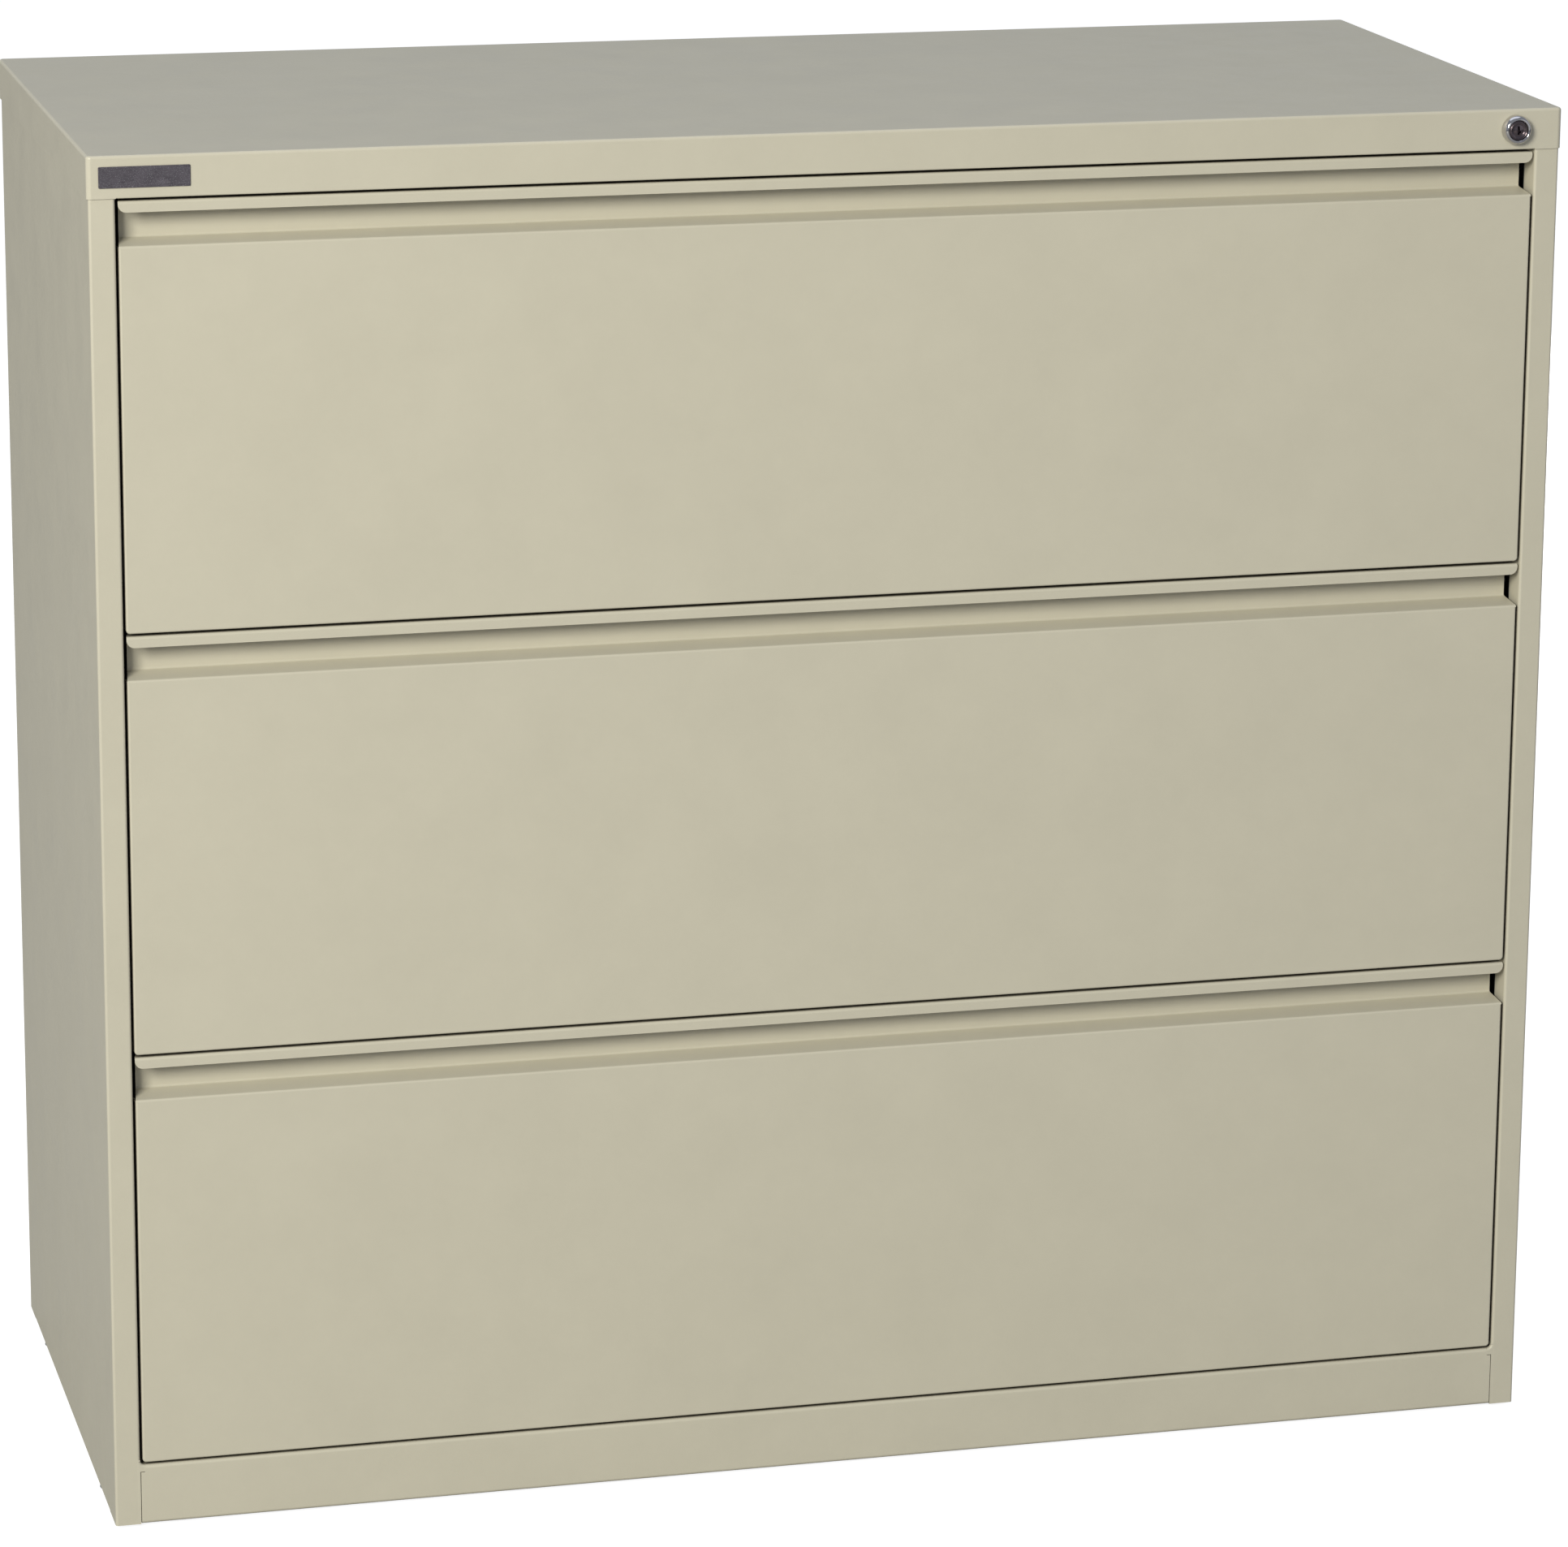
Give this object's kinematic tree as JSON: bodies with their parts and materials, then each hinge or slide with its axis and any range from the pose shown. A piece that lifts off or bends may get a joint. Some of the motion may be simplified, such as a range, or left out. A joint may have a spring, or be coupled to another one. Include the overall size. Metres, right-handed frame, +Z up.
{
  "type": "lateral filing cabinet",
  "caption": "Wide lateral filing cabinet of folded steel, with full-width recessed pulls over telescopic drawers, a cap top and a corner lock.",
  "frame": {"origin": "on the floor, below the middle of the outer box, which takes in the lock's front", "axes": "+X to the right seen from the front, +Y to the back, +Z up; the drawers open towards -Y"},
  "size_m": [1.0668, 0.4802, 0.9936],
  "materials": {
    "case_paint": "warm putty powder coat, fine orange peel, satin",
    "drawer_paint": "warm putty powder coat, fine orange peel, satin",
    "inner_paint": "warm putty powder coat, thin on inner faces",
    "zinc": "bright zinc plate",
    "bezel": "polished chrome plate",
    "plug": "dark, glossy",
    "badge": "dark satin anodised",
    "ballast": "rough grey"
  },
  "bodies": {
    "case": {"top_cap": "case_paint", "left_side_panel": "case_paint", "right_side_panel": "case_paint", "back_panel": "case_paint", "base_plinth": "case_paint", "base_pan": "inner_paint", "counterweight": "ballast", "left_front_upright": "zinc", "left_rear_upright": "zinc", "right_front_upright": "zinc", "right_rear_upright": "zinc", "badge_plate": "badge", "lock_barrel": "bezel", "slide_1_outer_left": "zinc", "slide_1_outer_right": "zinc", "slide_2_outer_left": "zinc", "slide_2_outer_right": "zinc", "slide_3_outer_left": "zinc", "slide_3_outer_right": "zinc"},
    "drawer_1": {"drawer_1_front": "drawer_paint", "drawer_1_tray": "inner_paint", "drawer_1_back": "inner_paint", "drawer_1_rail_front": "zinc", "drawer_1_rail_rear": "zinc", "drawer_1_striker": "zinc", "slide_1_inner_left": "zinc", "slide_1_inner_right": "zinc"},
    "slide_1_middle": {"slide_1_middle_left": "zinc", "slide_1_middle_right": "zinc"},
    "drawer_2": {"drawer_2_front": "drawer_paint", "drawer_2_tray": "inner_paint", "drawer_2_back": "inner_paint", "drawer_2_rail_front": "zinc", "drawer_2_rail_rear": "zinc", "drawer_2_striker": "zinc", "slide_2_inner_left": "zinc", "slide_2_inner_right": "zinc"},
    "slide_2_middle": {"slide_2_middle_left": "zinc", "slide_2_middle_right": "zinc"},
    "drawer_3": {"drawer_3_front": "drawer_paint", "drawer_3_tray": "inner_paint", "drawer_3_back": "inner_paint", "drawer_3_rail_front": "zinc", "drawer_3_rail_rear": "zinc", "drawer_3_striker": "zinc", "slide_3_inner_left": "zinc", "slide_3_inner_right": "zinc"},
    "slide_3_middle": {"slide_3_middle_left": "zinc", "slide_3_middle_right": "zinc"},
    "lock_plug": {"lock_plug": "plug", "lock_cam": "zinc"},
    "lock_bar": {"lock_bar": "zinc", "lock_bar_arm": "zinc", "lock_finger_1": "zinc", "lock_finger_2": "zinc", "lock_finger_3": "zinc"},
    "glide_left_front": {"glide_left_front": "zinc"},
    "glide_left_rear": {"glide_left_rear": "zinc"},
    "glide_right_front": {"glide_right_front": "zinc"},
    "glide_right_rear": {"glide_right_rear": "zinc"}
  },
  "joints": [
    {"name": "drawer_1_slide", "type": "slide", "parent": "case", "child": "drawer_1", "axis": [0, -1, 0], "range_m": [0, 0.395]},
    {"name": "slide_1_middle_slide", "type": "slide", "parent": "case", "child": "slide_1_middle", "axis": [0, -1, 0], "range_m": [0, 0.1975]},
    {"name": "drawer_2_slide", "type": "slide", "parent": "case", "child": "drawer_2", "axis": [0, -1, 0], "range_m": [0, 0.395]},
    {"name": "slide_2_middle_slide", "type": "slide", "parent": "case", "child": "slide_2_middle", "axis": [0, -1, 0], "range_m": [0, 0.1975]},
    {"name": "drawer_3_slide", "type": "slide", "parent": "case", "child": "drawer_3", "axis": [0, -1, 0], "range_m": [0, 0.395]},
    {"name": "slide_3_middle_slide", "type": "slide", "parent": "case", "child": "slide_3_middle", "axis": [0, -1, 0], "range_m": [0, 0.1975]},
    {"name": "lock_turn", "type": "hinge", "parent": "case", "child": "lock_plug", "pos_m": [0.4979, -0.2329, 0.9788], "axis": [0, 1, 0], "range_deg": [0, 90]},
    {"name": "lock_bar_slide", "type": "slide", "parent": "case", "child": "lock_bar", "axis": [0, 0, -1], "range_m": [0, 0.0113]},
    {"name": "glide_left_front_screw", "type": "slide", "parent": "case", "child": "glide_left_front", "axis": [0, 0, -1], "range_m": [0, 0.009]},
    {"name": "glide_left_rear_screw", "type": "slide", "parent": "case", "child": "glide_left_rear", "axis": [0, 0, -1], "range_m": [0, 0.009]},
    {"name": "glide_right_front_screw", "type": "slide", "parent": "case", "child": "glide_right_front", "axis": [0, 0, -1], "range_m": [0, 0.009]},
    {"name": "glide_right_rear_screw", "type": "slide", "parent": "case", "child": "glide_right_rear", "axis": [0, 0, -1], "range_m": [0, 0.009]}
  ],
  "couplings": [
    {"joint": "slide_1_middle_slide", "follows": "drawer_1_slide", "ratio": 0.5},
    {"joint": "slide_2_middle_slide", "follows": "drawer_2_slide", "ratio": 0.5},
    {"joint": "slide_3_middle_slide", "follows": "drawer_3_slide", "ratio": 0.5},
    {"joint": "lock_turn", "follows": "lock_bar_slide", "rad_per_m": 138.89}
  ]
}
